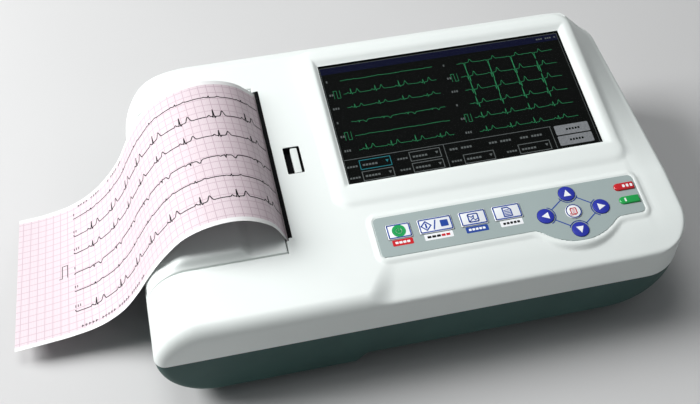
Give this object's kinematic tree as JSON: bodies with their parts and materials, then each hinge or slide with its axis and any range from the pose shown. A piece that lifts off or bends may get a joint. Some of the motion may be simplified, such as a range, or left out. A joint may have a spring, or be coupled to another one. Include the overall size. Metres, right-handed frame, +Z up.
{
  "type": "ecg machine",
  "caption": "Portable ecg machine: tilted display and keypad deck, lift-up printer cover with roller and thermal head, chart strip over the side, sealed battery base.",
  "frame": {"origin": "middle of the flat underside between the feet, in the plane of that face; the table is 9 mm lower", "axes": "+X to the right along the case (the printed strip leaves towards -X), +Y to the rear panel, +Z up"},
  "size_m": [0.3995, 0.205, 0.1013],
  "materials": {
    "white_body": "fine satin texture",
    "dark_base": "fine satin texture",
    "grey_plastic": "satin",
    "clear_window": "polished",
    "lcd": "polished, lit from behind",
    "overlay": "satin printed film",
    "key_white": "satin",
    "key_blue": "satin",
    "led_red": "polished",
    "led_green": "polished",
    "black_plastic": "satin",
    "steel": "brushed",
    "aluminium": "satin",
    "brass": "turned",
    "rubber": "matt",
    "paper": "smooth coated, pink ruled",
    "card": "plain",
    "board": "solder mask",
    "cell_wrap": "shrink wrap",
    "ceramic": "glazed",
    "nylon": "natural"
  },
  "bodies": {
    "case": {"top_shell": "white_body", "base_tray": "dark_base", "screen_window": "clear_window", "lcd_panel": "lcd", "lcd_frame": "grey_plastic", "keypad_overlay": "overlay", "keypad_board": "board", "led_window_red": "led_red", "led_window_green": "led_green", "tear_bar": "black_plastic", "hinge_pin": "steel", "idler_shaft": "steel", "stepper_motor": "steel", "head_pivot": "steel", "head_springs": "steel", "printer_frame": "steel", "paper_bin": "grey_plastic", "paper_sensor": "black_plastic", "paper_web": "paper", "printed_strip": "paper", "latch_spring": "steel", "main_board": "board", "power_board": "board", "battery_pack": "cell_wrap", "battery_door": "dark_base", "speaker": "black_plastic", "mains_inlet": "black_plastic", "rocker_housing": "black_plastic", "ground_stud": "brass", "patient_connector": "steel", "network_port": "steel", "usb_port": "steel", "case_screws": "steel", "door_screws": "steel", "tall_feet": "rubber", "low_feet": "rubber", "rating_plate": "aluminium"},
    "cover": {"printer_cover": "white_body", "platen_bushings": "brass"},
    "platen": {"platen_roller": "rubber", "platen_shaft": "steel", "platen_gear": "nylon"},
    "idler": {"idler_gear": "nylon"},
    "pinion": {"motor_pinion": "brass"},
    "supply_roll": {"paper_roll": "paper", "roll_core": "card", "roll_spindle": "nylon"},
    "head": {"print_head": "ceramic", "head_heatsink": "aluminium"},
    "latch": {"latch_slider": "white_body"},
    "rocker": {"rocker_button": "black_plastic"},
    "button_power": {"key_power": "key_white"},
    "button_start_stop": {"key_start_stop": "key_white"},
    "button_mode": {"key_mode": "key_white"},
    "button_print": {"key_print": "key_white"},
    "button_up": {"key_up": "key_blue"},
    "button_left": {"key_left": "key_blue"},
    "button_right": {"key_right": "key_blue"},
    "button_down": {"key_down": "key_blue"},
    "button_center": {"key_center": "key_white"}
  },
  "joints": [
    {"name": "cover_hinge", "type": "hinge", "parent": "case", "child": "cover", "pos_m": [-0.1528, 0.005, 0.043], "axis": [0, -1, 0], "range_deg": [0, 75], "deforming": ["printed_strip"]},
    {"name": "platen_spin", "type": "hinge", "parent": "cover", "child": "platen", "pos_m": [-0.0802, 0.00886, 0.05847], "axis": [0, 0.9945, 0.1045], "continuous": true},
    {"name": "idler_spin", "type": "hinge", "parent": "case", "child": "idler", "pos_m": [-0.0742, -0.05042, 0.04179], "axis": [0, 0.9945, 0.1045], "continuous": true},
    {"name": "pinion_spin", "type": "hinge", "parent": "case", "child": "pinion", "pos_m": [-0.07229, -0.04929, 0.03101], "axis": [0, 0.9945, 0.1045], "continuous": true},
    {"name": "roll_spin", "type": "hinge", "parent": "case", "child": "supply_roll", "pos_m": [-0.118, 0.01163, 0.03211], "axis": [0, 0.9945, 0.1045], "continuous": true},
    {"name": "head_tilt", "type": "hinge", "parent": "case", "child": "head", "pos_m": [-0.069, 0.00962, 0.05121], "axis": [0, 0.9945, 0.1045], "range_deg": [0, 3], "stiffness_Nm_per_rad": 4, "springref_deg": -4.58},
    {"name": "latch_slide", "type": "slide", "parent": "case", "child": "latch", "axis": [-1, 0, 0], "range_m": [0, 0.004], "stiffness_N_per_m": 300, "springref_m": -0.004},
    {"name": "rocker_tilt", "type": "hinge", "parent": "case", "child": "rocker", "pos_m": [0.0215, 0.093, 0.0205], "axis": [1, 0, 0], "range_deg": [0, 16]},
    {"name": "power_press", "type": "slide", "parent": "case", "child": "button_power", "axis": [0, 0.1045, -0.9945], "range_m": [0, 0.0005], "stiffness_N_per_m": 800, "springref_m": -0.0003},
    {"name": "start_stop_press", "type": "slide", "parent": "case", "child": "button_start_stop", "axis": [0, 0.1045, -0.9945], "range_m": [0, 0.0005], "stiffness_N_per_m": 800, "springref_m": -0.0003},
    {"name": "mode_press", "type": "slide", "parent": "case", "child": "button_mode", "axis": [0, 0.1045, -0.9945], "range_m": [0, 0.0005], "stiffness_N_per_m": 800, "springref_m": -0.0003},
    {"name": "print_press", "type": "slide", "parent": "case", "child": "button_print", "axis": [0, 0.1045, -0.9945], "range_m": [0, 0.0005], "stiffness_N_per_m": 800, "springref_m": -0.0003},
    {"name": "up_press", "type": "slide", "parent": "case", "child": "button_up", "axis": [0, 0.1045, -0.9945], "range_m": [0, 0.0005], "stiffness_N_per_m": 800, "springref_m": -0.0003},
    {"name": "left_press", "type": "slide", "parent": "case", "child": "button_left", "axis": [0, 0.1045, -0.9945], "range_m": [0, 0.0005], "stiffness_N_per_m": 800, "springref_m": -0.0003},
    {"name": "right_press", "type": "slide", "parent": "case", "child": "button_right", "axis": [0, 0.1045, -0.9945], "range_m": [0, 0.0005], "stiffness_N_per_m": 800, "springref_m": -0.0003},
    {"name": "down_press", "type": "slide", "parent": "case", "child": "button_down", "axis": [0, 0.1045, -0.9945], "range_m": [0, 0.0005], "stiffness_N_per_m": 800, "springref_m": -0.0003},
    {"name": "center_press", "type": "slide", "parent": "case", "child": "button_center", "axis": [0, 0.1045, -0.9945], "range_m": [0, 0.0005], "stiffness_N_per_m": 800, "springref_m": -0.0003}
  ],
  "couplings": [
    {"joint": "idler_spin", "follows": "platen_spin", "ratio": -0.5},
    {"joint": "pinion_spin", "follows": "platen_spin", "ratio": 1.3333}
  ]
}
